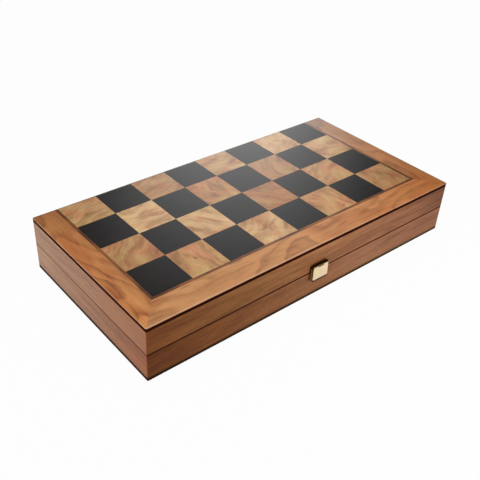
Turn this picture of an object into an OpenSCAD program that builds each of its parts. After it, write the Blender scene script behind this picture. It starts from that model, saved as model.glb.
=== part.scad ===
// Folding games case: a chequered playing board outside, two backgammon trays inside.
// Two equal halves close face to face and fold on a pair of butt hinges.
// Millimetres. X runs along the case, the front with the clasp is at -Y, the hinges are at +Y.
// The origin is the centre of the face that the closed case lies on.

/* [Board] */
// Side of one square
square = 41; // [30:0.5:50]
// Depth of the row of squares along the hinge edge
hinge_row = 39; // [30:0.5:50]
// Width of the border along the front edge, stringing included
border_front = 29; // [18:0.5:40]
// Width of the border at each end, stringing included
border_side = 26; // [18:0.5:40]
// Width of the stringing line next to the squares
string_w = 3; // [1:0.25:4]
// Thickness of the outer veneer
veneer = 0.8; // [0.6:0.1:1.5]
// Thickness of the dark panel under the veneer
panel = 3; // [2:0.25:6]
// Glue line round each square
glue_line = 0.1; // [0.05:0.01:0.2]

/* [Case] */
// Height of one half, from its playing face to its rim
half_h = 29; // [24:0.5:50]
// Thickness of the walls
wall = 10; // [9:0.5:14]
// Radius of the upright corners
corner_r = 1.2; // [0.5:0.1:2.5]
// Width of the eased edges of the rims
rim_ease = 0.6; // [0.2:0.1:1]
// Width of the eased edges of the playing face
face_ease = 0.4; // [0.2:0.1:0.5]

/* [Backgammon trays] */
// Thickness of the inner sheet and of the points let into it
field = 1; // [0.6:0.1:2]
// Distance between the tips of two facing points
tip_gap = 70; // [30:1:120]
// Strip of sheet between the feet of two neighbouring points
foot_gap = 1; // [0.5:0.1:3]

/* [Hinges] */
// Distance of each hinge's middle from the end of the case
hinge_inset = 75; // [45:1:95]
// Length of one hinge
hinge_l = 32; // [24:0.5:50]
// Width of a hinge leaf, from the pin to its far edge
leaf_w = 8; // [7:0.25:8.5]
// Thickness of a hinge leaf
leaf_t = 1.2; // [0.8:0.1:1.8]
// Outer radius of a hinge knuckle
knuckle_r = 2.6; // [2.2:0.1:3]
// Radius of a hinge pin
hinge_pin_r = 1.1; // [0.7:0.1:1.3]
// Half the gap between the back walls when the board lies open
back_air = 0.15; // [0.1:0.05:0.4]

/* [Clasp] */
// Place of the clasp's middle along the front
clasp_x = 1.5; // [-40:0.5:40]
// Width of the clasp
clasp_w = 20; // [17:0.5:30]
// Height of the clasp's pin above the rim
clasp_rise = 7.2; // [6.5:0.1:9]
// Drop of the flap below the rim
flap_drop = 9; // [6.5:0.1:12]
// Outer radius of a clasp knuckle
clasp_r = 1.9; // [1.6:0.1:2.4]
// Radius of the clasp's pin
clasp_pin_r = 0.8; // [0.5:0.1:0.9]
// Gap between the wall and the flap when it is folded up
flap_air = 0.3; // [0.2:0.05:0.6]
// Radius of the flap's lower corners
flap_corner = 1.6; // [0.5:0.1:2]
// Thickness of the clasp's leaf on the lid's front wall
clasp_leaf_t = 0.8; // [0.6:0.05:1]
// Height of the leaf's lower edge above the rim
clasp_leaf_edge = 1.1; // [1:0.1:1.5]
// Radius of the stud that the flap closes on
stud_r = 1.3; // [1:0.1:1.6]
// Height of the stud's middle below the rim
stud_drop = 4; // [3:0.1:4.5]
// Length of the stud in the wall
stud_in = 6; // [4:0.25:8]
// Length of the stud outside the wall
stud_out = 2.5; // [2:0.1:2.8]

/* [Screws] */
// Radius of a hinge screw's shank
screw_r = 0.9; // [0.7:0.05:1.1]
// Radius of a hinge screw's head
head_r = 1.7; // [1.4:0.05:1.9]
// Length of a hinge screw
screw_l = 8; // [6:0.5:11]
// Radius of a clasp screw's shank
clasp_screw_r = 0.8; // [0.6:0.05:0.9]
// Radius of a clasp screw's head
clasp_head_r = 1.5; // [1.2:0.05:1.6]
// Length of a clasp screw
clasp_screw_l = 7; // [5:0.5:8]
// Width of the slot in a screw's head
slot_w = 0.5; // [0.3:0.05:0.7]

/* [Fits] */
// Radial clearance of a pin in its knuckles
pin_fit = 0.05; // [0.02:0.01:0.1]
// Gap beside and round a knuckle
knuckle_air = 0.3; // [0.2:0.05:0.5]
// Gap round a leaf in its mortise
mortise_fit = 0.1; // [0.05:0.05:0.3]
// Depth of a leaf's face below the rim
leaf_sink = 0.1; // [0.05:0.01:0.2]
// Radial clearance of a screw or a stud in the wood
pilot_fit = 0.04; // [0.02:0.01:0.1]
// Gap between the stud and the sides of its channel in the flap
stud_fit = 0.25; // [0.1:0.05:0.4]

/* [Hidden] */
columns = 8;
rows = 4;
points = 6;
case_l = columns * square + 2 * border_side;
case_w = border_front + (rows - 1) * square + hinge_row;
rail_h = half_h - panel - veneer;
inner_l = case_l - 2 * wall;
inner_w = case_w - 2 * wall;
point_pitch = inner_w / points;
point_l = (inner_l - tip_gap) / 2;
squares_x = -case_l / 2 + border_side;
squares_y = -case_w / 2 + border_front;
hinge_y = case_w / 2 + back_air;
hinge_x = case_l / 2 - hinge_inset;
knuckle_l = hinge_l / 3;
hinge_screw_x = hinge_l / 3;
hinge_screw_y = hinge_y - (knuckle_r + knuckle_air + leaf_w) / 2;
clasp_y = -case_w / 2 - flap_air - clasp_r;
clasp_knuckle = clasp_w / 3;
clasp_screw_x = clasp_w / 3;
clasp_screw_h = (clasp_leaf_edge + clasp_rise - clasp_r - knuckle_air) / 2;
flap_back = -case_w / 2 - clasp_leaf_t - knuckle_air;
fine = 48;
past = 1;

// Both halves are drawn from the rim upwards. The lid stands on the parting plane.
module lid_half() {
    translate([0, 0, half_h]) children();
}

// The lower half is the lid's mirror image below the parting plane.
module lower_half() {
    translate([0, 0, half_h]) mirror([0, 0, 1]) children();
}

// Outline of the case seen from above, with its rounded upright corners
module outline() {
    square([case_l - 2 * corner_r, case_w], center = true);
    square([case_l, case_w - 2 * corner_r], center = true);
    for (sx = [-1, 1], sy = [-1, 1])
        translate([sx * (case_l / 2 - corner_r), sy * (case_w / 2 - corner_r)])
            circle(r = corner_r, $fn = fine);
}

// Section of a wall: outer face at 0, eased at the rim inside and outside
module wall_section() {
    polygon([[0, rim_ease], [rim_ease, 0], [wall - rim_ease, 0], [wall, rim_ease],
        [wall, rail_h], [0, rail_h]]);
}

// Wall of the given length along X, its outer face at -Y, mitred at both ends
module wall_rail(length) {
    intersection() {
        rotate([90, 0, 90]) linear_extrude(length, center = true) wall_section();
        linear_extrude(rail_h)
            polygon([[-length / 2, 0], [length / 2, 0],
                [length / 2 - wall, wall], [-length / 2 + wall, wall]]);
    }
}

// The wall at the side of the case that the angle turns the front to
module case_wall(angle, length, depth) {
    intersection() {
        rotate(angle) translate([0, -depth / 2, 0]) wall_rail(length);
        linear_extrude(rail_h) outline();
    }
}

// Room for both leaves and the barrel of every hinge in the rim of the back wall
module hinge_mortises() {
    for (s = [-1, 1]) translate([s * hinge_x, 0, 0]) {
        translate([-hinge_l / 2 - mortise_fit, hinge_y - leaf_w - mortise_fit, -past])
            cube([hinge_l + 2 * mortise_fit, leaf_w + mortise_fit, past + leaf_sink + leaf_t]);
        translate([0, hinge_y, 0])
            barrel(knuckle_r + knuckle_air, -hinge_l / 2 - mortise_fit, hinge_l / 2 + mortise_fit);
    }
}

// The four places of the hinge screws in a half
module at_hinge_screws() {
    for (s = [-1, 1], t = [-1, 1])
        translate([s * hinge_x + t * hinge_screw_x, hinge_screw_y, leaf_sink]) children();
}

// The two places of the clasp screws in the lid's front wall
module at_clasp_screws() {
    for (t = [-1, 1])
        translate([clasp_x + t * clasp_screw_x, -case_w / 2 - clasp_leaf_t, clasp_screw_h])
            rotate([-90, 0, 0]) children();
}

// Countersunk screw with its head's face at 0, pointing upwards
module screw_body(r, head, length, fit = 0) {
    cylinder(r1 = head + fit, r2 = r + fit, h = head - r, $fn = fine);
    cylinder(r = r + fit, h = length - r, $fn = fine);
    translate([0, 0, length - r]) cylinder(r1 = r + fit, r2 = r / 4 + fit, h = r + fit, $fn = fine);
}

// Room for a screw and for its head's way in
module screw_room(r, head, length) {
    screw_body(r, head, length, pilot_fit);
    translate([0, 0, -past]) cylinder(r = head + pilot_fit, h = past, $fn = fine);
}

module screw(r, head, length) {
    difference() {
        screw_body(r, head, length);
        translate([-head - past, -slot_w / 2, -past])
            cube([2 * (head + past), slot_w, past + (head - r) / 2]);
    }
}

module lid_front() {
    difference() {
        case_wall(0, case_l, case_w);
        at_clasp_screws() screw_room(clasp_screw_r, clasp_head_r, clasp_screw_l);
    }
}

module lower_front() {
    difference() {
        case_wall(0, case_l, case_w);
        translate([clasp_x, -case_w / 2 + stud_in + pilot_fit, stud_drop])
            rotate([90, 0, 0])
                cylinder(r = stud_r + pilot_fit, h = stud_in + pilot_fit + past, $fn = fine);
    }
}

module back_wall() {
    difference() {
        case_wall(180, case_l, case_w);
        hinge_mortises();
        at_hinge_screws() screw_room(screw_r, head_r, screw_l);
    }
}

module left_wall() {
    case_wall(-90, case_w, case_l);
}

module right_wall() {
    case_wall(90, case_w, case_l);
}

// Dark panel that closes the half, flush with the walls all round
module face_panel() {
    translate([0, 0, rail_h]) linear_extrude(panel) outline();
}

// A flat piece of the outer veneer, cut to the case's outline and eased along its edges
module face_piece() {
    difference() {
        translate([0, 0, rail_h + panel])
            linear_extrude(veneer)
                intersection() {
                    children();
                    outline();
                }
        for (s = [-1, 1]) {
            translate([0, s * case_w / 2, half_h])
                rotate([45, 0, 0])
                    cube([case_l + 2 * past, face_ease * sqrt(2), face_ease * sqrt(2)], center = true);
            translate([s * case_l / 2, 0, half_h])
                rotate([0, 45, 0])
                    cube([face_ease * sqrt(2), case_w + 2 * past, face_ease * sqrt(2)], center = true);
        }
    }
}

module front_border() {
    face_piece()
        polygon([[-case_l / 2, -case_w / 2], [case_l / 2, -case_w / 2],
            [case_l / 2 - border_side + string_w, squares_y - string_w],
            [-case_l / 2 + border_side - string_w, squares_y - string_w]]);
}

module left_border() {
    face_piece()
        polygon([[-case_l / 2, -case_w / 2], [squares_x - string_w, squares_y - string_w],
            [squares_x - string_w, case_w / 2], [-case_l / 2, case_w / 2]]);
}

module right_border() {
    mirror([1, 0, 0]) left_border();
}

// Three mitred strips round the ends and the front of the squares, a glue line apart
module stringing() {
    face_piece()
        polygon([[squares_x - string_w, squares_y - string_w], [-squares_x + string_w, squares_y - string_w],
            [-squares_x, squares_y], [squares_x, squares_y]]);
    for (s = [0, 1])
        mirror([s, 0, 0])
            face_piece()
                polygon([[squares_x - string_w, squares_y - string_w + glue_line],
                    [squares_x, squares_y + glue_line],
                    [squares_x, case_w / 2], [squares_x - string_w, case_w / 2]]);
}

// Every second square, with the given remainder, dark or light
module squares(step) {
    for (j = [0 : rows - 1], i = [0 : columns - 1])
        if ((i + j) % 2 == step)
            face_piece()
                translate([squares_x + i * square + glue_line / 2, squares_y + j * square + glue_line / 2])
                    square([square - glue_line, (j == rows - 1 ? hinge_row : square) - glue_line]);
}

// Outline of one point, its foot on the wall at the left
module point_shape(k) {
    y = -inner_w / 2 + k * point_pitch;
    polygon([[-inner_l / 2, y + foot_gap / 2], [-inner_l / 2 + point_l, y + point_pitch / 2],
        [-inner_l / 2, y + point_pitch - foot_gap / 2]]);
}

// The points with the given step, at both ends of the tray
module point_set(step) {
    for (k = [0 : points - 1]) {
        if (k % 2 == step) point_shape(k);
        if (k % 2 != step) mirror([1, 0]) point_shape(k);
    }
}

module tray_points(step) {
    translate([0, 0, rail_h - field]) linear_extrude(field) point_set(step);
}

// Sheet on the tray's floor, cut out round the points
module tray_field() {
    translate([0, 0, rail_h - field])
        linear_extrude(field)
            difference() {
                square([inner_l, inner_w], center = true);
                point_set(0);
                point_set(1);
            }
}

// Stretch of a barrel round an axis along X, between two places
module barrel(r, from, to) {
    translate([from, 0, 0]) rotate([0, 90, 0]) cylinder(r = r, h = to - from, $fn = fine);
}

// Hinge leaf on its mortise in the lid, its pin's axis on X, with the middle or the outer knuckles
module hinge_leaf(middle) {
    inner_k = (knuckle_l - knuckle_air) / 2;
    outer_k = (knuckle_l + knuckle_air) / 2;
    difference() {
        union() {
            difference() {
                translate([-hinge_l / 2, -leaf_w, leaf_sink]) cube([hinge_l, leaf_w, leaf_t]);
                if (middle) {
                    barrel(knuckle_r + knuckle_air, -hinge_l / 2 - past, -inner_k);
                    barrel(knuckle_r + knuckle_air, inner_k, hinge_l / 2 + past);
                } else {
                    barrel(knuckle_r + knuckle_air, -outer_k, outer_k);
                }
            }
            if (middle) {
                barrel(knuckle_r, -inner_k, inner_k);
            } else {
                barrel(knuckle_r, -hinge_l / 2, -outer_k);
                barrel(knuckle_r, outer_k, hinge_l / 2);
            }
        }
        barrel(hinge_pin_r + pin_fit, -hinge_l / 2 - past, hinge_l / 2 + past);
    }
}

// The hinge on the given side, with the holes for its screws
module hinge_leaf_in_place(s, middle) {
    difference() {
        translate([s * hinge_x, hinge_y, 0]) hinge_leaf(middle);
        at_hinge_screws() screw_room(screw_r, head_r, screw_l);
    }
}

module hinge_pin(s) {
    lid_half() translate([s * hinge_x, hinge_y, 0]) barrel(hinge_pin_r, -hinge_l / 2, hinge_l / 2);
}

module hinge_screws() {
    at_hinge_screws() screw(screw_r, head_r, screw_l);
}

// Turns round the clasp's pin are drawn with its axis on X
module on_clasp_axis() {
    translate([clasp_x, clasp_y, clasp_rise]) children();
}

// Leaf on the lid's front wall, behind the flap, with the middle knuckle
module clasp_leaf_shape() {
    half_k = (clasp_knuckle - knuckle_air) / 2;
    reach = flap_air + clasp_r;
    web = clasp_r / 2;
    difference() {
        union() {
            difference() {
                translate([clasp_x - clasp_w / 2, -case_w / 2 - clasp_leaf_t, clasp_leaf_edge])
                    cube([clasp_w, clasp_leaf_t, clasp_rise - clasp_leaf_edge]);
                on_clasp_axis() {
                    barrel(clasp_r + knuckle_air, -clasp_w / 2 - past, -half_k);
                    barrel(clasp_r + knuckle_air, half_k, clasp_w / 2 + past);
                }
            }
            on_clasp_axis() {
                barrel(clasp_r, -half_k, half_k);
                translate([-half_k, 0, -web]) cube([2 * half_k, reach, web]);
            }
        }
        on_clasp_axis() barrel(clasp_pin_r + pin_fit, -clasp_w / 2 - past, clasp_w / 2 + past);
        at_clasp_screws() screw_room(clasp_screw_r, clasp_head_r, clasp_screw_l);
    }
}

// Outline of the flap from the front, from its lower edge to the pin, its lower corners rounded
module flap_outline() {
    span = flap_drop + clasp_rise;
    translate([-clasp_w / 2, flap_corner]) square([clasp_w, span - flap_corner]);
    translate([-clasp_w / 2 + flap_corner, 0]) square([clasp_w - 2 * flap_corner, span]);
    for (s = [-1, 1])
        translate([s * (clasp_w / 2 - flap_corner), flap_corner])
            circle(r = flap_corner, $fn = fine);
}

// Flap with the outer knuckles, and a channel in its back that slides over the stud
module flap_shape() {
    half_k = (clasp_knuckle + knuckle_air) / 2;
    channel = stud_r + stud_fit;
    depth = stud_out + case_w / 2 + flap_back + stud_fit;
    difference() {
        union() {
            translate([clasp_x, flap_back, -flap_drop])
                rotate([90, 0, 0])
                    linear_extrude(flap_back - clasp_y + clasp_r) flap_outline();
            on_clasp_axis() barrel(clasp_r, -clasp_w / 2, clasp_w / 2);
        }
        on_clasp_axis() {
            barrel(clasp_r + knuckle_air, -half_k, half_k);
            barrel(clasp_pin_r + pin_fit, -clasp_w / 2 - past, clasp_w / 2 + past);
        }
        translate([clasp_x, flap_back + past, -stud_drop])
            rotate([90, 0, 0]) cylinder(r = channel, h = depth + past, $fn = fine);
        translate([clasp_x - channel, flap_back - depth, -flap_drop - past])
            cube([2 * channel, depth + past, flap_drop - stud_drop + past]);
    }
}

// Stud in the lower half's front wall, its end chamfered
module stud_shape() {
    chamfer = stud_r / 3;
    translate([clasp_x, -case_w / 2 + stud_in, -stud_drop])
        rotate([90, 0, 0]) {
            cylinder(r = stud_r, h = stud_in + stud_out - chamfer, $fn = fine);
            translate([0, 0, stud_in + stud_out - chamfer])
                cylinder(r1 = stud_r, r2 = stud_r - chamfer, h = chamfer, $fn = fine);
        }
}

walnut = "#6f4a30";
dark_edge = "#2a1610";
olive = "#bd8a55";
line_red = "#5e2a1c";
light_burl = "#c9a274";
charcoal = "#34302e";
field_wood = "#a87848";
brass = "#d8b870";
steel = "#b8b4ac";

module lower_front_wall() { color(walnut) lower_half() lower_front(); }
module lower_back_wall() { color(walnut) lower_half() back_wall(); }
module lower_left_wall() { color(walnut) lower_half() left_wall(); }
module lower_right_wall() { color(walnut) lower_half() right_wall(); }
module lower_panel() { color(dark_edge) lower_half() face_panel(); }
module lower_front_border() { color(olive) lower_half() front_border(); }
module lower_left_border() { color(olive) lower_half() left_border(); }
module lower_right_border() { color(olive) lower_half() right_border(); }
module lower_stringing() { color(line_red) lower_half() stringing(); }
module lower_dark_squares() { color(charcoal) lower_half() squares(1); }
module lower_light_squares() { color(light_burl) lower_half() squares(0); }
module lower_field() { color(field_wood) lower_half() tray_field(); }
module lower_dark_points() { color(charcoal) lower_half() tray_points(0); }
module lower_light_points() { color(light_burl) lower_half() tray_points(1); }
module lid_front_wall() { color(walnut) lid_half() lid_front(); }
module lid_back_wall() { color(walnut) lid_half() back_wall(); }
module lid_left_wall() { color(walnut) lid_half() left_wall(); }
module lid_right_wall() { color(walnut) lid_half() right_wall(); }
module lid_panel() { color(dark_edge) lid_half() face_panel(); }
module lid_front_border() { color(olive) lid_half() front_border(); }
module lid_left_border() { color(olive) lid_half() left_border(); }
module lid_right_border() { color(olive) lid_half() right_border(); }
module lid_stringing() { color(line_red) lid_half() stringing(); }
module lid_dark_squares() { color(charcoal) lid_half() squares(0); }
module lid_light_squares() { color(light_burl) lid_half() squares(1); }
module lid_field() { color(field_wood) lid_half() tray_field(); }
module lid_dark_points() { color(charcoal) lid_half() tray_points(1); }
module lid_light_points() { color(light_burl) lid_half() tray_points(0); }
module left_hinge_lower_leaf() { color(brass) lower_half() hinge_leaf_in_place(-1, false); }
module left_hinge_lid_leaf() { color(brass) lid_half() hinge_leaf_in_place(-1, true); }
module left_hinge_pin() { color(steel) hinge_pin(-1); }
module right_hinge_lower_leaf() { color(brass) lower_half() hinge_leaf_in_place(1, false); }
module right_hinge_lid_leaf() { color(brass) lid_half() hinge_leaf_in_place(1, true); }
module right_hinge_pin() { color(steel) hinge_pin(1); }
module lower_hinge_screws() { color(brass) lower_half() hinge_screws(); }
module lid_hinge_screws() { color(brass) lid_half() hinge_screws(); }
module clasp_leaf() { color(brass) lid_half() clasp_leaf_shape(); }
module clasp_screws() {
    color(brass) lid_half() at_clasp_screws() screw(clasp_screw_r, clasp_head_r, clasp_screw_l);
}
module clasp_pin() {
    color(steel) lid_half() on_clasp_axis() barrel(clasp_pin_r, -clasp_w / 2, clasp_w / 2);
}
module clasp_flap() { color(brass) lid_half() flap_shape(); }
module clasp_stud() { color(brass) lid_half() stud_shape(); }

lower_front_wall();
lower_back_wall();
lower_left_wall();
lower_right_wall();
lower_panel();
lower_front_border();
lower_left_border();
lower_right_border();
lower_stringing();
lower_dark_squares();
lower_light_squares();
lower_field();
lower_dark_points();
lower_light_points();
lid_front_wall();
lid_back_wall();
lid_left_wall();
lid_right_wall();
lid_panel();
lid_front_border();
lid_left_border();
lid_right_border();
lid_stringing();
lid_dark_squares();
lid_light_squares();
lid_field();
lid_dark_points();
lid_light_points();
left_hinge_lower_leaf();
left_hinge_lid_leaf();
left_hinge_pin();
right_hinge_lower_leaf();
right_hinge_lid_leaf();
right_hinge_pin();
lower_hinge_screws();
lid_hinge_screws();
clasp_leaf();
clasp_screws();
clasp_pin();
clasp_flap();
clasp_stud();
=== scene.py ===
"""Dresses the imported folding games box: figured veneers, walnut walls and brass under clear lacquer.

Everything is in metres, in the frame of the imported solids: +X along the case, -Y towards the clasp,
+Y towards the hinges, +Z up through the lid. The closed case lies on z = 0.
"""
import math

import bmesh
import bpy
from mathutils import Matrix, Vector


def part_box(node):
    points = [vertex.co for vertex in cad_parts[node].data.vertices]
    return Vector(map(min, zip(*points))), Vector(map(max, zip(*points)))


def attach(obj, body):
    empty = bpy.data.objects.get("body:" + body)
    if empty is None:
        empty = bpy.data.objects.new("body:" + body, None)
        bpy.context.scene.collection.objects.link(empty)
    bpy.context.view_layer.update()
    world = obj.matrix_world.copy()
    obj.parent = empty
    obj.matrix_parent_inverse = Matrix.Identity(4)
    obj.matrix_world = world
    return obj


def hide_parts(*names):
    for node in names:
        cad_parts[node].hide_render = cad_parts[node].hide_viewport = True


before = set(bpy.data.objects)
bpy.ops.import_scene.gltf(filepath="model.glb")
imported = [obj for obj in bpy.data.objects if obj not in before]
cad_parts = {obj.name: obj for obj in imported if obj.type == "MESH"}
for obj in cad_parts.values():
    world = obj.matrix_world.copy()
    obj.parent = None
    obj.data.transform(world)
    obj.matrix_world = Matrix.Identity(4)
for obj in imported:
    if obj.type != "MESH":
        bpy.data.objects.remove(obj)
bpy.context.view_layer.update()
bpy.ops.object.select_all(action="DESELECT")

MM = 0.001

# Squares along the board, and points along one end of a tray
COLUMNS = 8
POINTS = 6

# Measures that the solids have: the stringing's width, the eased edges and the radius of the clasp's barrel
STRING_WIDTH = 3.0 * MM
ARRIS = 0.4 * MM
RIM_EASE = 0.6 * MM
BARREL_RADIUS = 1.9 * MM

# Edges that turn by more than this are rounded on the stamped brass
SHARP = math.radians(40)

# Places on the case, read from the solids
case_low, case_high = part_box("lid_panel")
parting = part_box("lid_front_wall")[0].z
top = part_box("lid_left_border")[1].z
half_height = top - parting
board_low, board_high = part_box("lid_stringing")
board_x = board_low.x + STRING_WIDTH
board_y = board_low.y + STRING_WIDTH
square = (board_high.x - board_low.x - 2 * STRING_WIDTH) / COLUMNS
tray_low, tray_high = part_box("lower_field")

# The lacquer's gloss
LACQUER_ROUGH = 0.16
LACQUER_IOR = 1.5


def tint(red, green, blue):
    """A colour given as it shows on a screen, 0 to 255, as the linear colour that shaders take."""
    def linear(value):
        value /= 255
        return value / 12.92 if value <= 0.04045 else ((value + 0.055) / 1.055) ** 2.4
    return (linear(red), linear(green), linear(blue), 1.0)


def shades(*marks):
    """Stops of a ramp, each given as its place from 0 to 1 and its colour, 0 to 255."""
    return [(place, tint(*colour)) for place, *colour in marks]


class Tree:
    """A node tree whose nodes are added one by one, each fed with numbers or with other outputs."""

    def __init__(self, tree):
        self.tree = tree

    def feed(self, socket, value):
        if isinstance(value, bpy.types.NodeSocket):
            self.tree.links.new(value, socket)
        else:
            socket.default_value = value

    def add(self, kind, feeds, out=0, **settings):
        made = self.tree.nodes.new(kind)
        for name, value in settings.items():
            setattr(made, name, value)
        for key, value in feeds.items():
            self.feed(made.inputs[key], value)
        return made.outputs[out]

    def here(self):
        """Place on the piece, in metres."""
        return self.add("ShaderNodeTexCoord", {}, out="Object")

    def stretch(self, where, scale, shift=(0, 0, 0)):
        return self.add("ShaderNodeMapping", {"Vector": where, "Scale": scale, "Location": shift})

    def split(self, vector):
        made = self.tree.nodes.new("ShaderNodeSeparateXYZ")
        self.tree.links.new(vector, made.inputs[0])
        return made.outputs

    def join(self, x, y, z):
        return self.add("ShaderNodeCombineXYZ", {0: x, 1: y, 2: z})

    def sum(self, operation, first, second=0.0, third=0.0):
        feeds = {0: first, 1: second, 2: third}
        return self.add("ShaderNodeMath", feeds, operation=operation)

    def vector(self, operation, first, second):
        return self.add("ShaderNodeVectorMath", {0: first, 1: second}, operation=operation)

    def scaled(self, vector, amount):
        return self.add("ShaderNodeVectorMath", {0: vector, "Scale": amount}, operation="SCALE")

    def noise(self, where, scale=1.0, detail=4.0, rough=0.55, twist=0.0, out="Fac"):
        feeds = {"Vector": where, "Scale": scale, "Detail": detail, "Roughness": rough, "Distortion": twist}
        return self.add("ShaderNodeTexNoise", feeds, out=out)

    def band(self, value, low, high, start=0.0, end=1.0):
        """Value from start to end as it goes from low to high, eased at both."""
        feeds = {0: value, 1: low, 2: high, 3: start, 4: end}
        return self.add("ShaderNodeMapRange", feeds, interpolation_type="SMOOTHSTEP")

    def ramp(self, amount, stops):
        made = self.tree.nodes.new("ShaderNodeValToRGB")
        marks = made.color_ramp.elements
        while len(marks) < len(stops):
            marks.new(0.5)
        for mark, (place, colour) in zip(marks, stops):
            mark.position = place
            mark.color = colour
        self.feed(made.inputs[0], amount)
        return made.outputs[0]

    def mix(self, amount, first, second, blend="MIX"):
        feeds = {0: amount, 6: first, 7: second}
        return self.add("ShaderNodeMix", feeds, out=2, data_type="RGBA", blend_type=blend)

    def mix_value(self, amount, first, second):
        feeds = {0: amount, 2: first, 3: second}
        return self.add("ShaderNodeMix", feeds, data_type="FLOAT")

    def bump(self, height, depth):
        """Normal of a surface whose height goes from 0 to 1 over the given depth."""
        return self.add("ShaderNodeBump", {"Height": height, "Distance": depth, "Strength": 1.0})


class Finish(Tree):
    """A material and its shader."""

    def __init__(self, name):
        self.material = bpy.data.materials.new(name)
        self.material.use_nodes = True
        super().__init__(self.material.node_tree)
        self.shader = self.tree.nodes["Principled BSDF"]

    def surface(self, **values):
        """Sets the shader's sockets. Names are written with _ for a space."""
        for name, value in values.items():
            self.feed(self.shader.inputs[name.replace("_", " ")], value)


def grain_scale(lengthwise, along, across):
    """Pattern scale for a board whose grain runs along the given axis, X or Y."""
    if lengthwise == "X":
        return (along, across, across)
    return (across, along, across)


def pores(finish, where, lengthwise):
    """Short dark dashes of open grain, 1 in a pore and 0 beside it."""
    fine = finish.stretch(where, grain_scale(lengthwise, 130, 2400))
    return finish.band(finish.noise(fine, detail=2.0), 0.60, 0.70)


def lacquer(finish, colour, grain_height, grain_depth=0.02 * MM, coat=1.0, under=0.45, shine=0.2):
    """Clear satin lacquer over wood of the given colour."""
    finish.surface(
        Base_Color=colour, Roughness=under, Specular_IOR_Level=shine, IOR=1.45,
        Coat_Weight=coat, Coat_Roughness=LACQUER_ROUGH, Coat_IOR=LACQUER_IOR,
        Normal=finish.bump(grain_height, grain_depth))


def face_height(finish, where):
    """Height of a place above the parting plane, or below it on the lower half."""
    z = finish.split(where)[2]
    return finish.sum("ABSOLUTE", finish.sum("SUBTRACT", z, parting))


def along(finish, where, lengthwise, stops):
    """Colour that drifts from one end of the case to the other, in stops from 0 to 1."""
    x, y, _ = finish.split(where)
    low, high = (case_low.x, case_high.x) if lengthwise == "X" else (case_low.y, case_high.y)
    place = finish.add("ShaderNodeMapRange", {0: x if lengthwise == "X" else y, 1: low, 2: high})
    return finish.ramp(place, stops)


def eased(finish, where, colour):
    """Edges of the playing face: a pale painted highlight along the arris in front and at the ends, dull
    behind, stained when upright.
    """
    dull = tint(92, 82, 68)
    height = face_height(finish, where)
    x, y, _ = finish.split(where)
    at_back = finish.band(y, case_high.y - 2.4 * MM, case_high.y - 0.9 * MM)
    on_arris = finish.band(height, half_height - 0.10 * MM, half_height - 0.02 * MM, 1.0, 0.0)
    # Painted highlight: the arris is painted pale in patches, where it would catch light.
    arris_highlight = finish.band(finish.noise(where, scale=45, detail=2.0), 0.40, 0.60, 0.05, 0.30)
    # Painted highlight: a wider pale band along the front edge, stronger towards the left.
    front_highlight = finish.band(finish.sum("SUBTRACT", y, case_low.y), 0.6 * MM, 2.2 * MM, 1.0, 0.0)
    front_highlight = finish.sum("MULTIPLY", front_highlight, finish.band(x, -60 * MM, 120 * MM, 0.45, 0.12))
    arris_highlight = finish.sum("MAXIMUM", finish.sum("MULTIPLY", on_arris, arris_highlight), front_highlight)
    edge_colour = finish.mix(arris_highlight, colour, tint(214, 170, 140))
    edge_colour = finish.mix(finish.sum("MULTIPLY", at_back, 0.55), edge_colour, dull)
    at_right = finish.band(x, case_high.x - 1.8 * MM, case_high.x - 0.8 * MM, 0.0, 0.3)
    edge_colour = finish.mix(at_right, edge_colour, dull)
    on_edge = finish.band(height, half_height - ARRIS - 0.06 * MM, half_height - ARRIS, 1.0, 0.0)
    return finish.mix(on_edge, edge_colour, tint(34, 9, 3))


def rim_groove(finish, where, lengthwise):
    """1 on and just beside the eased rims, which make the groove between the halves, and 0 elsewhere: where
    the groove's shade is painted.
    """
    x, y, _ = finish.split(where)
    outer = case_high.y if lengthwise == "X" else case_high.x
    inset = finish.sum("SUBTRACT", outer, finish.sum("ABSOLUTE", y if lengthwise == "X" else x))
    outside = finish.band(inset, RIM_EASE - 0.15 * MM, RIM_EASE + 0.05 * MM, 1.0, 0.0)
    at_rim = finish.band(face_height(finish, where), RIM_EASE, RIM_EASE + 0.55 * MM, 1.0, 0.0)
    return finish.sum("MULTIPLY", outside, at_rim)


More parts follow.
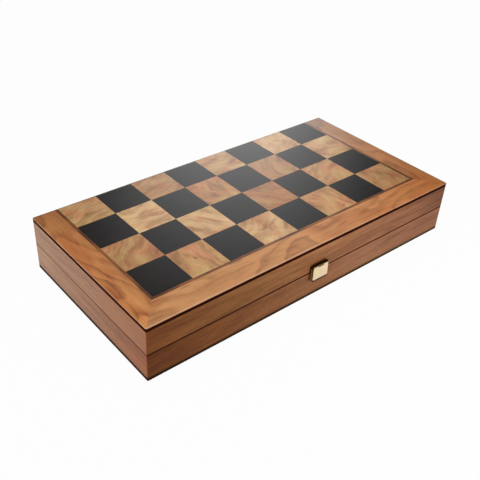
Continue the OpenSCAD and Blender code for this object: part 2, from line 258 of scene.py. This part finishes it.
def walnut(name, lengthwise, shift, stops, groove, coat=0.0, shine=0.08, contrast=1.0):
    """Walnut wall of the given colours from end to end, with fine streaks, flecks and open grain."""
    finish = Finish(name)
    place = finish.here()
    where = finish.vector("ADD", place, shift)
    bands = finish.noise(finish.stretch(where, grain_scale(lengthwise, 5, 60)), detail=2.0, twist=0.4)
    streaks = finish.noise(
        finish.stretch(where, grain_scale(lengthwise, 24, 320)), detail=5.0, rough=0.65, twist=0.3)
    figure = finish.sum("ADD", finish.sum("MULTIPLY", bands, 0.5), finish.sum("MULTIPLY", streaks, 0.5))
    colour = finish.scaled(along(finish, place, lengthwise, stops), 1.25)
    shade = finish.ramp(figure, [
        (0.40, (0.56, 0.51, 0.46, 1)), (0.50, (0.80, 0.80, 0.80, 1)), (0.60, (1, 1, 1, 1))])
    colour = finish.mix(contrast, colour, shade, "MULTIPLY")
    flecks = finish.noise(finish.stretch(where, grain_scale(lengthwise, 130, 900), (4, 0, 2)), detail=2.0)
    pale = finish.band(flecks, 0.60, 0.70, 0.0, 0.40 * contrast)
    colour = finish.mix(pale, colour, finish.scaled(colour, 1.7))
    deep = finish.band(flecks, 0.30, 0.40, 0.45 * contrast, 0.0)
    colour = finish.mix(deep, colour, finish.scaled(colour, 0.5))
    open_grain = pores(finish, where, lengthwise)
    colour = finish.mix(finish.sum("MULTIPLY", open_grain, 0.35), colour, tint(44, 22, 12))
    # A darker strip along the top of the wall, just under the panel.
    under_panel = finish.band(face_height(finish, place), half_height - 4.5 * MM, half_height - 4.0 * MM, 0.0, 0.7)
    colour = finish.mix(under_panel, colour, tint(58, 24, 8))
    # Painted shade: the groove between the halves is darkened in colour, strongest on the front wall.
    groove_shade = finish.sum("MULTIPLY", rim_groove(finish, place, lengthwise), groove)
    colour = finish.mix(groove_shade, colour, tint(62, 24, 4))
    height = finish.sum("SUBTRACT", 1.0, open_grain)
    lacquer(finish, colour, height, coat=coat, under=0.28, shine=shine)
    return finish.material


def border_wood(name, lengthwise, shift, stops, figure):
    """Warm figured veneer: soft flames, each dark along one side, and short darker dashes of grain."""
    finish = Finish(name)
    where = finish.here()
    moved = finish.vector("ADD", where, shift)
    wander = finish.noise(finish.stretch(moved, grain_scale(lengthwise, 8, 20)), detail=1.5, twist=0.6)
    x, y, _ = finish.split(moved)
    across = y if lengthwise == "X" else x
    ripple = finish.noise(finish.stretch(moved, grain_scale(lengthwise, 34, 90), (5, 5, 0)), detail=2.5)
    rings = finish.sum("ADD", finish.sum("DIVIDE", across, 34 * MM), finish.sum("MULTIPLY", wander, 6.0))
    rings = finish.sum("MULTIPLY_ADD", ripple, 0.6, rings)
    ring = finish.sum("FRACT", rings)
    body = finish.band(ring, 0.05, 0.95)
    body = finish.sum("MULTIPLY", body, finish.band(ring, 0.78, 1.0, 1.0, 0.0))
    line = finish.sum("MULTIPLY", finish.band(ring, 0.66, 0.90), finish.band(ring, 0.90, 1.0, 1.0, 0.0))
    strength = finish.noise(finish.stretch(moved, grain_scale(lengthwise, 9, 30), (3, 7, 0)), detail=1.0)
    strength = finish.band(strength, 0.36, 0.60)
    zone = finish.noise(finish.stretch(moved, grain_scale(lengthwise, 11, 26), (9, 1, 0)), detail=2.5)
    fibre = finish.noise(finish.stretch(moved, grain_scale(lengthwise, 30, 800)), detail=3.0)
    depth = finish.sum("MULTIPLY", line, finish.sum("MULTIPLY_ADD", strength, 0.22 * figure, 0.04 * figure))
    depth = finish.sum("ADD", depth, finish.sum("MULTIPLY", body, 0.46 * figure))
    dashes = finish.noise(finish.stretch(moved, grain_scale(lengthwise, 48, 330), (2, 5, 0)), detail=2.0)
    depth = finish.sum("ADD", depth, finish.band(dashes, 0.52, 0.66, 0.0, 0.24))
    depth = finish.sum("ADD", depth, finish.sum("MULTIPLY_ADD", fibre, 0.30, -0.15))
    pale = finish.scaled(along(finish, where, lengthwise, stops), 1.17)
    deep = finish.mix(1.0, pale, (0.45, 0.36, 0.28, 1), "MULTIPLY")
    colour = finish.mix(finish.band(depth, -0.15, 1.0), pale, deep)
    rosy = finish.band(zone, 0.48, 0.58, 0.0, 0.7 * figure)
    colour = finish.mix(rosy, colour, tint(234, 208, 190), "MULTIPLY")
    lacquer(finish, eased(finish, where, colour), fibre)
    return finish.material


def cell_draw(finish, where, seed):
    """Three random numbers, the same all over one square and different on the next."""
    x, y, _ = finish.split(where)
    column = finish.sum("FLOOR", finish.sum("DIVIDE", finish.sum("SUBTRACT", x, board_x), square))
    row = finish.sum("FLOOR", finish.sum("DIVIDE", finish.sum("SUBTRACT", y, board_y), square))
    return finish.add("ShaderNodeTexWhiteNoise", {"Vector": finish.join(column, row, seed)}, out="Color")


def light_burl(name, seed):
    """Swirling burl veneer, cut from another part of the leaf for each square."""
    finish = Finish(name)
    where = finish.here()
    draw = cell_draw(finish, where, seed)
    first, second, third = finish.split(draw)
    moved = finish.vector("ADD", where, finish.scaled(draw, 4.0))
    turned = finish.add(
        "ShaderNodeVectorRotate",
        {"Vector": moved, "Angle": finish.sum("MULTIPLY", first, math.pi)}, rotation_type="Z_AXIS")
    bend = finish.noise(turned, scale=20, detail=1.0, out="Color")
    curl = finish.noise(turned, scale=85, detail=2.0, out="Color")
    bend = finish.scaled(finish.vector("SUBTRACT", bend, (0.5, 0.5, 0.5)), 34 * MM)
    curl = finish.scaled(finish.vector("SUBTRACT", curl, (0.5, 0.5, 0.5)), 7 * MM)
    swirled = finish.vector("ADD", turned, finish.vector("ADD", bend, curl))
    flame = finish.noise(finish.stretch(swirled, (40, 190, 80)), detail=4.0, rough=0.6)
    cloud = finish.noise(finish.stretch(swirled, (36, 66, 60), (5, 2, 0)), detail=3.0)
    figure = finish.sum("ADD", finish.sum("MULTIPLY", flame, 0.42), finish.sum("MULTIPLY", cloud, 0.58))
    colour = finish.ramp(figure, shades(
        (0.35, 206, 173, 128), (0.45, 198, 161, 115), (0.52, 186, 146, 101),
        (0.60, 166, 126, 84), (0.70, 136, 97, 61)))
    patch = finish.noise(finish.stretch(swirled, (52, 70, 60), (1, 8, 0)), detail=2.0)
    redness = finish.sum("MULTIPLY_ADD", finish.sum("SUBTRACT", second, third), 0.3, 0.27)
    rosy = finish.band(finish.sum("ADD", patch, redness), 0.56, 1.0, 0.0, 1.0)
    colour = finish.mix(rosy, colour, tint(243, 203, 183), "MULTIPLY")
    olive = finish.band(finish.sum("SUBTRACT", patch, redness), 0.0, 0.40, 0.9, 0.0)
    colour = finish.mix(olive, colour, tint(240, 234, 198), "MULTIPLY")
    veins = finish.sum("ABSOLUTE", finish.sum("SUBTRACT", flame, 0.56))
    vein = finish.sum("MULTIPLY", finish.band(veins, 0.0, 0.02, 1.0, 0.0), finish.band(cloud, 0.42, 0.58))
    colour = finish.mix(finish.sum("MULTIPLY", vein, 0.4), colour, tint(112, 72, 42))
    eye = finish.band(finish.noise(turned, scale=95, detail=1.0), 0.72, 0.78, 0.0, 0.6)
    colour = finish.mix(eye, colour, tint(96, 60, 36))
    bright = finish.sum("MULTIPLY_ADD", third, 0.27, 0.835)
    colour = finish.mix(1.0, colour, finish.join(bright, bright, bright), "MULTIPLY")
    fibre = finish.noise(finish.stretch(swirled, (120, 900, 400)), detail=2.0)
    lacquer(finish, eased(finish, where, colour), fibre)
    return finish.material


def dyed_black(name, seed):
    """Black-dyed veneer with a faint straight grain, a little different on each square."""
    finish = Finish(name)
    where = finish.here()
    draw = cell_draw(finish, where, seed)
    moved = finish.vector("ADD", where, finish.scaled(draw, 3.0))
    fibre = finish.noise(finish.stretch(moved, (22, 700, 300)), detail=4.0, rough=0.6)
    colour = finish.ramp(fibre, shades((0.35, 15, 13, 12), (0.70, 33, 29, 27)))
    lacquer(finish, eased(finish, where, colour), fibre, shine=0.0)
    return finish.material


def stringing_wood(name):
    """Thin brown-red line round the squares."""
    finish = Finish(name)
    where = finish.here()
    fibre = finish.noise(finish.stretch(where, (34, 34, 34)), detail=4.0)
    colour = finish.ramp(fibre, shades((0.38, 80, 38, 8), (0.62, 132, 76, 28)))
    lacquer(finish, eased(finish, where, colour), fibre)
    return finish.material


def stained_edge(name, dark, light, strip):
    """Stained edge of a panel under its veneers, its layers just showing, with a brown strip by the wall
    that is painted light, lighter towards the right end.
    """
    finish = Finish(name)
    where = finish.here()
    layers = finish.noise(finish.stretch(where, (14, 14, 1400)), detail=3.0)
    colour = finish.ramp(layers, [(0.35, dark), (0.70, light)])
    height = face_height(finish, where)
    near_wall = finish.band(height, half_height - 2.9 * MM, half_height - 2.1 * MM, 1.0, 0.0)
    # Painted light: brown that stands in for light from the floor on the part of the edge by the wall,
    # lighter to the right; strip sets how much.
    brown = along(finish, where, "X", shades((0.0, 74, 50, 32), (0.5, 98, 68, 44), (1.0, 122, 94, 62)))
    colour = finish.mix(finish.sum("MULTIPLY", near_wall, strip), colour, brown)
    lacquer(finish, colour, layers, coat=0.0, under=0.5, shine=0.0)
    return finish.material


def tray_wood(name, shift):
    """Brown sheet on the floor of a tray, its grain along the case."""
    finish = Finish(name)
    where = finish.vector("ADD", finish.here(), shift)
    bands = finish.noise(finish.stretch(where, (4, 36, 36)), detail=2.0, twist=0.4)
    fibre = finish.noise(finish.stretch(where, (14, 420, 420)), detail=5.0, rough=0.6)
    figure = finish.sum("ADD", finish.sum("MULTIPLY", bands, 0.6), finish.sum("MULTIPLY", fibre, 0.4))
    colour = finish.ramp(figure, shades((0.35, 140, 88, 50), (0.5, 170, 115, 70), (0.68, 192, 138, 90)))
    open_grain = pores(finish, where, "X")
    colour = finish.mix(finish.sum("MULTIPLY", open_grain, 0.3), colour, tint(84, 48, 26))
    lacquer(finish, colour, finish.sum("SUBTRACT", 1.0, open_grain), coat=0.4, under=0.5)
    return finish.material


def point_wood(name, shift, dark, light):
    """Veneer of the backgammon points, cut from another leaf for each point."""
    finish = Finish(name)
    where = finish.here()
    x, y, _ = finish.split(where)
    pitch = (tray_high.y - tray_low.y) / POINTS
    row = finish.sum("FLOOR", finish.sum("DIVIDE", finish.sum("SUBTRACT", y, tray_low.y), pitch))
    draw = finish.add(
        "ShaderNodeTexWhiteNoise", {"Vector": finish.join(finish.sum("SIGN", x), row, shift)}, out="Color")
    moved = finish.vector("ADD", where, finish.scaled(draw, 5.0))
    fibre = finish.noise(finish.stretch(moved, (10, 300, 300)), detail=5.0, rough=0.6, twist=0.3)
    colour = finish.ramp(fibre, [(0.36, dark), (0.66, light)])
    lacquer(finish, colour, fibre, coat=0.4, under=0.5)
    return finish.material


def metal(name, colour, dull, rough):
    """Polished metal with a faint tarnish and fine scratches."""
    finish = Finish(name)
    where = finish.here()
    cloud = finish.noise(where, scale=180, detail=3.0)
    scratches = finish.noise(finish.stretch(where, (500, 2600, 9000)), detail=2.0)
    finish.surface(
        Base_Color=finish.ramp(cloud, [(0.3, dull), (0.6, colour)]), Metallic=0.75,
        Roughness=finish.band(cloud, 0.3, 0.7, rough + 0.08, rough),
        Normal=finish.bump(scratches, 0.004 * MM))
    return finish.material


def clasp_brass(name, plate):
    """Brass of the clasp: olive barrel, dark crown, sides and hem.
    The olive is partly tarnish and partly a painted dim reflection; the dark parts are painted shade and
    dark reflection.

    Where plate is 1, the front has a bright face with round corners, painted highlights near its top and
    bottom and a painted reflection that shifts from left to right, and the back is plain brass.
    A painted brown reflection of the wood lies on the far top of the barrel.
    """
    face_half_width = 8.2 * MM
    face_half_height = 5.65 * MM
    face_middle = 9.05 * MM
    corner_reach = (1.40 * MM, 1.65 * MM)
    side_reach = (9.75 * MM, 9.90 * MM)
    barrel_height = (1.5 * MM, 1.9 * MM)
    finish = Finish(name)
    where = finish.here()
    x, y, z = finish.split(where)
    low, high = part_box("clasp_flap")
    rightward = finish.add("ShaderNodeMapRange", {0: x, 1: low.x, 2: high.x})
    below_top = finish.sum("SUBTRACT", high.z, z)
    above_hem = finish.sum("SUBTRACT", z, low.z)
    crown_edge = finish.sum("MULTIPLY_ADD", rightward, 0.95 * MM, 0.32 * MM)
    # Painted shade: a dark crown along the top of the barrel.
    crown = finish.band(finish.sum("SUBTRACT", below_top, crown_edge), -0.15 * MM, 0.15 * MM, 1.0, 0.0)
    barrel_top = finish.band(below_top, *barrel_height, 1.0, 0.0)
    # Painted shade: the top of the barrel behind the face.
    behind = finish.sum("MULTIPLY", finish.band(y, low.y + 1.9 * MM, low.y + 2.2 * MM), barrel_top)
    side = finish.sum("ABSOLUTE", finish.sum("SUBTRACT", x, (low.x + high.x) / 2 + 0.1 * MM))
    beside = finish.sum("MAXIMUM", finish.sum("SUBTRACT", side, face_half_width), 0.0)
    upright = finish.sum("ABSOLUTE", finish.sum("SUBTRACT", z, low.z + face_middle))
    upright = finish.sum("MAXIMUM", finish.sum("SUBTRACT", upright, face_half_height), 0.0)
    corner = finish.sum("SQRT", finish.sum(
        "ADD", finish.sum("MULTIPLY", beside, beside), finish.sum("MULTIPLY", upright, upright)))
    outline = finish.band(corner, *corner_reach)
    # Painted shade: a dark hem under the face; the sides are painted dark as shade and dark reflection.
    hem = finish.sum("MULTIPLY", outline, finish.band(below_top, 1.85 * MM, 2.25 * MM))
    side = finish.band(side, *side_reach)
    dark = finish.sum("MAXIMUM", finish.sum("MAXIMUM", crown, behind), finish.sum("MAXIMUM", side, hem))
    face = finish.band(y, low.y + 0.30 * MM, low.y + 0.60 * MM, 1.0, 0.0)
    inside = finish.sum("MULTIPLY", finish.sum("SUBTRACT", 1.0, outline), plate)
    polished = finish.sum("MULTIPLY", face, inside)
    polished = finish.sum("MULTIPLY", polished, finish.sum("SUBTRACT", 1.0, dark))
    # Painted highlight: pale rims near the bottom and the top of the face.
    rim_highlight = finish.sum(
        "MAXIMUM", finish.band(above_hem, 1.9 * MM, 3.4 * MM, 1.0, 0.0),
        finish.band(below_top, 2.3 * MM, 3.4 * MM, 1.0, 0.0))
    # Painted reflection: the face's colour shifts from left to right.
    bright = finish.mix(rightward, tint(226, 210, 164), tint(240, 208, 172))
    bright = finish.mix(finish.sum("MULTIPLY", rim_highlight, 0.6), bright, tint(255, 236, 196))
    cloud = finish.noise(where, scale=140, detail=2.0)
    bright = finish.scaled(bright, finish.band(cloud, 0.35, 0.65, 0.94, 1.02))
    # Olive brass, partly tarnish and partly a painted dim reflection; dark where shade is painted.
    tarnish_and_shade = finish.mix(dark, tint(128, 100, 56), tint(56, 36, 16))
    # Painted reflection of the brown wood on the far top of the barrel.
    reflection_edge = finish.sum("MULTIPLY_ADD", rightward, -1.7 * MM, low.y + 2.6 * MM)
    wood_reflection = finish.band(finish.sum("SUBTRACT", y, reflection_edge), 0.0, 0.5 * MM)
    wood_reflection = finish.sum("MULTIPLY", wood_reflection, barrel_top)
    tarnish_and_shade = finish.mix(wood_reflection, tarnish_and_shade, tint(120, 74, 40))
    back = finish.sum(
        "MULTIPLY", finish.band(y, low.y + 0.70 * MM, low.y + 0.78 * MM, 0.0, plate),
        finish.band(below_top, 3.9 * MM, 4.3 * MM))
    tarnish_and_shade = finish.mix(back, tarnish_and_shade, tint(206, 182, 128))
    scratches = finish.noise(finish.stretch(where, (500, 2600, 5000)), detail=2.0)
    finish.surface(
        Base_Color=finish.mix(polished, tarnish_and_shade, bright), Metallic=1.0,
        Roughness=finish.band(polished, 0.0, 1.0, 0.42, 0.2), Normal=finish.bump(scratches, 0.002 * MM))
    return finish.material


def dress(material, *names):
    """Gives CAD nodes a finish."""
    for name in names:
        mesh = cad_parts[name].data
        mesh.materials.clear()
        mesh.materials.append(material)


def dress_walls():
    """Walls of both halves. The end walls have a fainter painted shade in the groove, a softer grain and
    more gloss.
    """
    # The drifts along the walls are partly the wood's tone and partly painted light: the front walls are
    # darker at the left end and brighter towards the middle, as painted light falloff, and the end walls
    # turn paler and greyer towards the back, as a painted sheen.
    lid_front = shades(
        (0.0, 120, 68, 28), (0.2, 133, 85, 43), (0.42, 151, 100, 59), (0.6, 157, 105, 68),
        (0.72, 154, 102, 68), (0.84, 138, 87, 55), (1.0, 104, 60, 30))
    low_front = shades((0.0, 111, 58, 17), (0.18, 129, 76, 32), (0.7, 138, 92, 62), (1.0, 124, 76, 48))
    lid_end = shades((0.0, 135, 76, 28), (1.0, 145, 104, 73))
    low_end = shades((0.0, 127, 65, 8), (1.0, 157, 116, 84))
    for half, lift, front, end, veil in (
            ("lid", 0.37, lid_front, lid_end, 0.6), ("lower", 0.0, low_front, low_end, 0.5)):
        for side, start, groove in (("front", 0.10, 1.0), ("back", 1.31, 0.6)):
            wood = walnut(half + " " + side + " walnut", "X", (start, lift, 0), front, groove)
            dress(wood, half + "_" + side + "_wall")
        for side, start in (("left", 2.17), ("right", 3.73)):
            wood = walnut(
                half + " " + side + " walnut", "Y", (start, lift, 0), end, 0.33,
                coat=veil, shine=0.0, contrast=0.8)
            dress(wood, half + "_" + side + "_wall")


def dress_boards():
    """Playing faces of both halves: the panels' edges, the stringing, squares and borders."""
    string = stringing_wood("stringing")
    dress(stained_edge("dark stained edge", tint(34, 8, 2), tint(60, 21, 6), 0.0), "lid_panel")
    dress(stained_edge("stained edge with painted floor light", tint(26, 11, 3), tint(56, 33, 16), 0.9), "lower_panel")
    # The drifts along the borders are partly the wood's tone and partly painted light: the left border
    # darkens towards the back as painted shade, and the right border turns paler and greyer towards the back
    # as a painted sheen.
    front = shades(
        (0.0, 184, 130, 82), (0.35, 182, 126, 74), (0.65, 193, 134, 80),
        (0.85, 182, 118, 65), (1.0, 171, 99, 40))
    left = shades((0.0, 198, 139, 79), (0.3, 178, 117, 66), (0.7, 180, 120, 67), (1.0, 152, 96, 53))
    right = shades((0.0, 170, 103, 42), (0.25, 162, 102, 53), (0.5, 178, 119, 69), (1.0, 160, 124, 85))
    borders = (
        ("front", "X", 0.3, front, 0.9), ("left", "Y", 0.7, left, 1.0), ("right", "Y", 1.9, right, 0.8))
    for half, seed, burl in (("lid", 3.0, 2364.0), ("lower", 11.0, 2010.0)):
        dress(string, half + "_stringing")
        dress(light_burl(half + " burl", burl), half + "_light_squares")
        dress(dyed_black(half + " black veneer", seed + 1), half + "_dark_squares")
        for side, lengthwise, start, colours, figure in borders:
            wood = border_wood(half + " " + side + " border", lengthwise, (seed, start, 0), colours, figure)
            dress(wood, half + "_" + side + "_border")


def dress_trays():
    """Floors of both trays, with their points."""
    for half, seed in (("lid", 5.0), ("lower", 8.0)):
        dress(tray_wood(half + " tray sheet", (seed, 0.2, 0)), half + "_field")
        for tone, leaf, dark, light in (
                ("dark", seed, tint(38, 26, 20), tint(66, 46, 34)),
                ("light", seed + 1, tint(196, 158, 108), tint(226, 192, 142))):
            wood = point_wood(half + " " + tone + " points", leaf, dark, light)
            dress(wood, half + "_" + tone + "_points")


def dress_metal(brass, steel):
    """Small metal parts that keep their solids."""
    dress(brass, "clasp_stud", "lower_hinge_screws", "lid_hinge_screws", "clasp_screws")
    dress(steel, "left_hinge_pin", "right_hinge_pin")
    # The clasp pin is darkened brass, painted shade where the barrel's end lies in shade.
    dress(metal("darkened clasp pin", tint(92, 66, 38), tint(54, 36, 20), 0.4), "clasp_pin")


def round_front(piece, reach):
    """Rounds the outline of the clasp's flap in front and the ends of its barrel, in edit mode."""
    hem = 1.5 * MM
    middle_knuckle = 5 * MM
    bore = 1.3 * MM
    low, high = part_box("clasp_flap")
    barrel = (low.y + BARREL_RADIUS, high.z - BARREL_RADIUS)
    shape = bmesh.from_edit_mesh(piece.data)
    bpy.ops.mesh.select_all(action="DESELECT")
    for edge in shape.edges:
        outer = edge.calc_face_angle(0) > SHARP
        for corner in edge.verts:
            x, y, z = corner.co
            outer &= y < low.y + 0.01 * MM or z > barrel[1] - 0.01 * MM
            outer &= z > low.z + hem
            outer &= abs(x - (low.x + high.x) / 2) > middle_knuckle
            outer &= math.hypot(y - barrel[0], z - barrel[1]) > bore
        edge.select_set(outer)
    bmesh.update_edit_mesh(piece.data)
    bpy.ops.mesh.bevel(offset=reach, segments=3, affect="EDGES", clamp_overlap=False)


def softened(node, body, reach, material, front=0.0):
    """Copy of a stamped brass part with its sharp edges rounded by the given reach."""
    piece = bpy.data.objects.new("soft_" + node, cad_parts[node].data.copy())
    bpy.context.scene.collection.objects.link(piece)
    bpy.context.view_layer.objects.active = piece
    piece.select_set(True)
    bpy.ops.object.mode_set(mode="EDIT")
    bpy.ops.mesh.select_all(action="SELECT")
    bpy.ops.mesh.remove_doubles(threshold=0.001 * MM)
    bpy.ops.mesh.dissolve_limited(angle_limit=math.radians(1))
    if front:
        round_front(piece, front)
    bpy.ops.object.mode_set(mode="OBJECT")
    edges = piece.modifiers.new("rounded edges", "BEVEL")
    edges.width = reach
    edges.segments = 3
    edges.limit_method = "ANGLE"
    edges.angle_limit = SHARP
    bpy.ops.object.modifier_apply(modifier=edges.name)
    bpy.ops.object.shade_smooth_by_angle(angle=math.radians(35))
    flats = piece.modifiers.new("flat faces", "WEIGHTED_NORMAL")
    flats.keep_sharp = True
    bpy.ops.object.modifier_apply(modifier=flats.name)
    piece.data.materials.clear()
    piece.data.materials.append(material)
    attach(piece, body)
    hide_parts(node)
    piece.select_set(False)


def make_brass(brass):
    """Rounds the edges of the stamped parts: the leaves of the hinges and both parts of the clasp."""
    for side in ("left", "right"):
        softened(side + "_hinge_lower_leaf", "lower_case", 0.25 * MM, brass)
        softened(side + "_hinge_lid_leaf", "lid", 0.25 * MM, brass)
    softened("clasp_leaf", "lid", 0.15 * MM, clasp_brass("clasp leaf brass", 0.0))
    softened("clasp_flap", "clasp", 0.2 * MM, clasp_brass("clasp flap brass", 1.0), front=0.8 * MM)


# Camera: where the photograph was taken from, on a frame of 480 x 480 pixels
FRAME_PX = 480
FOCAL_PX = 707
OPTICAL_CENTRE_PX = 228
CAMERA_PLACE = (-0.4075, -0.4402, 0.4320)
CAMERA_AZIMUTH = -40.71
CAMERA_ELEVATION = 35.35
CAMERA_ROLL = 2.8
SENSOR = 36


def make_camera():
    """Camera of the photograph, with its optical centre a little left of the middle."""
    data = bpy.data.cameras.new("photo camera")
    data.sensor_width = SENSOR
    data.lens = FOCAL_PX / FRAME_PX * SENSOR
    data.shift_x = (FRAME_PX / 2 - OPTICAL_CENTRE_PX) / FRAME_PX
    data.clip_start = 0.01
    camera = bpy.data.objects.new("photo_camera", data)
    bpy.context.scene.collection.objects.link(camera)
    heading = Matrix.Rotation(math.radians(CAMERA_AZIMUTH), 4, "Z")
    tilt = Matrix.Rotation(math.radians(90 - CAMERA_ELEVATION), 4, "X")
    roll = Matrix.Rotation(math.radians(CAMERA_ROLL), 4, "Z")
    camera.matrix_world = Matrix.Translation(CAMERA_PLACE) @ heading @ tilt @ roll
    bpy.context.scene.camera = camera


def area_lamp(name, place, target, size, power):
    """Soft square lamp at a place, turned to a target. Neither the camera nor reflections show it."""
    data = bpy.data.lights.new(name, "AREA")
    data.shape = "SQUARE"
    data.size = size
    data.energy = power
    lamp = bpy.data.objects.new(name, data)
    bpy.context.scene.collection.objects.link(lamp)
    lamp.location = place
    lamp.visible_camera = False
    lamp.visible_glossy = False
    lamp.rotation_euler = (Vector(target) - Vector(place)).to_track_quat("-Z", "Y").to_euler()


def make_lamps():
    """Soft light from above, from the left, and low in front."""
    area_lamp("overhead", (-0.1, 0.0, 1.5), (0, 0, top), 1.2, 12.7)
    area_lamp("left_fill", (-1.5, -0.1, 0.45), (0, 0, parting), 1.0, 14)
    area_lamp("front_fill", (0.2, -0.55, 0.12), (0.08, case_low.y, parting), 0.3, 1.7)


# Surroundings: the floor's white, the level of soft light, and where reflections find the window
FLOOR_WHITE = 0.97
DIFFUSE_LEVEL = 0.35
DIM = 0.03
WINDOW_AZIMUTH = 40.4
WINDOW_SIDE = (0.025, 0.247)
WINDOW_TOP = (0.38, 0.713)
WINDOW_STRENGTH = 2.19


def make_floor():
    """Pale floor: white to the camera, and a plain surface that takes the object's shadow."""
    bpy.ops.mesh.primitive_plane_add(size=12, location=(0, 0, -0.2 * MM))
    floor = bpy.context.object
    floor.name = "floor"
    finish = Finish("pale floor")
    path = finish.tree.nodes.new("ShaderNodeLightPath").outputs
    seen = finish.sum("MAXIMUM", path["Is Camera Ray"], path["Is Glossy Ray"])
    seen = finish.sum("MAXIMUM", seen, path["Is Transmission Ray"])
    white = finish.add("ShaderNodeEmission", {"Color": (1, 1, 1, 1), "Strength": 1.0})
    plain = finish.add("ShaderNodeBsdfDiffuse", {"Color": (0.5, 0.5, 0.5, 1)})
    share = finish.sum("MULTIPLY", seen, FLOOR_WHITE)
    blend = finish.add("ShaderNodeMixShader", {0: share, 1: plain, 2: white})
    finish.feed(finish.tree.nodes["Material Output"].inputs["Surface"], blend)
    finish.tree.nodes.remove(finish.shader)
    floor.data.materials.append(finish.material)


def make_world():
    """Surroundings, white to the camera. Reflections find a pale horizon and a tall window behind."""
    world = bpy.data.worlds.new("studio")
    bpy.context.scene.world = world
    world.use_nodes = True
    sky = Tree(world.node_tree)
    direction = sky.add("ShaderNodeTexCoord", {}, out="Generated")
    height = sky.split(direction)[2]
    heading = math.radians(WINDOW_AZIMUTH)
    aside = sky.add(
        "ShaderNodeVectorMath", {0: direction, 1: (math.cos(heading), -math.sin(heading), 0)},
        out="Value", operation="DOT_PRODUCT")
    ahead = sky.add(
        "ShaderNodeVectorMath", {0: direction, 1: (math.sin(heading), math.cos(heading), 0)},
        out="Value", operation="DOT_PRODUCT")
    across = sky.band(sky.sum("ABSOLUTE", aside), *WINDOW_SIDE, 1.0, 0.0)
    upward = sky.band(height, *WINDOW_TOP, 1.0, 0.0)
    window = sky.sum("MULTIPLY", sky.sum("MULTIPLY", across, upward), sky.band(ahead, 0.0, 0.1))
    horizon = sky.band(height, 0.10, 0.42, 1.0, DIM)
    reflected = sky.sum("MULTIPLY_ADD", window, WINDOW_STRENGTH, horizon)
    path = sky.tree.nodes.new("ShaderNodeLightPath").outputs
    lit = sky.mix_value(path["Is Glossy Ray"], DIFFUSE_LEVEL, reflected)
    background = sky.tree.nodes["Background"]
    sky.feed(background.inputs["Color"], (1, 1, 1, 1))
    sky.feed(background.inputs["Strength"], sky.mix_value(path["Is Camera Ray"], lit, 1.0))


make_camera()
make_world()
make_floor()
make_lamps()
dress_walls()
dress_boards()
dress_trays()
brass = metal("polished brass", tint(238, 216, 166), tint(214, 186, 128), 0.18)
dress_metal(brass, metal("pin steel", tint(206, 202, 194), tint(170, 166, 158), 0.25))
make_brass(brass)

bpy.context.scene.view_settings.view_transform = "Standard"
